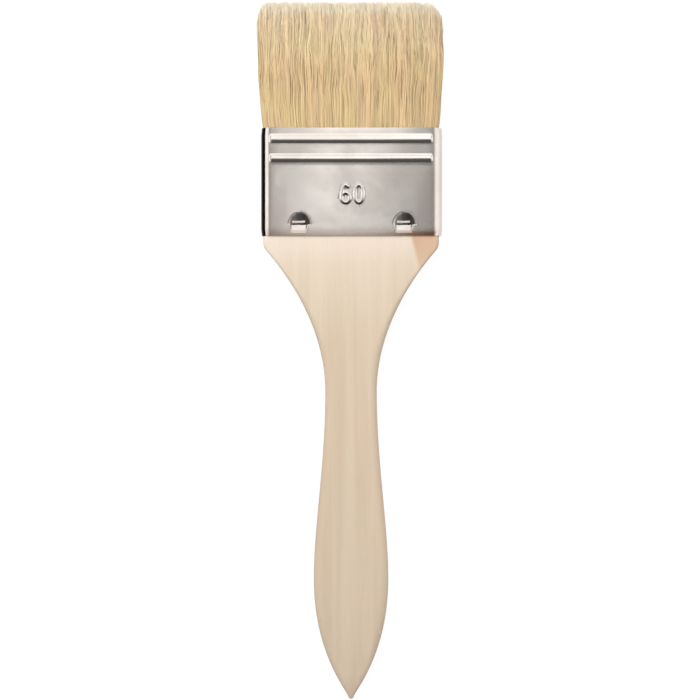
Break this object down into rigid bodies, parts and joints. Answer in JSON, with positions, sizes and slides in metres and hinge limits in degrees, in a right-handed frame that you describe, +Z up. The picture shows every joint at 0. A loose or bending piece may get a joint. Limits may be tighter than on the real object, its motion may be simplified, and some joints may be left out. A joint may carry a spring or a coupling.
{
  "type": "flat paint brush",
  "caption": "Flat paint brush with a shaped wooden handle, a beaded tinplate ferrule and a wide tuft of natural bristle that bends at its root and springs back.",
  "frame": {"origin": "on the surface the brush lies on, under the middle of its footprint", "axes": "X runs across the brush, +Y along it towards the bristle tips, +Z up out of the front face"},
  "size_m": [0.0623, 0.2332, 0.0091],
  "materials": {
    "handle_wood": "matte",
    "ferrule_tinplate": "satin",
    "set_resin": "gloss",
    "spacer_board": "matte",
    "bristle": "matte"
  },
  "bodies": {
    "brush": {"handle": "handle_wood", "ferrule": "ferrule_tinplate", "glue_plug": "set_resin", "spacer_strip": "spacer_board", "roots_front_bank": "bristle", "roots_back_bank": "bristle"},
    "tuft": {"tuft_front_bank": "bristle", "tuft_back_bank": "bristle"}
  },
  "joints": [
    {"name": "tuft_flex", "type": "hinge", "parent": "brush", "child": "tuft", "pos_m": [0, 0.0811, 0.00455], "axis": [1, 0, 0], "range_deg": [-30, 30], "stiffness_Nm_per_rad": 0.13}
  ]
}
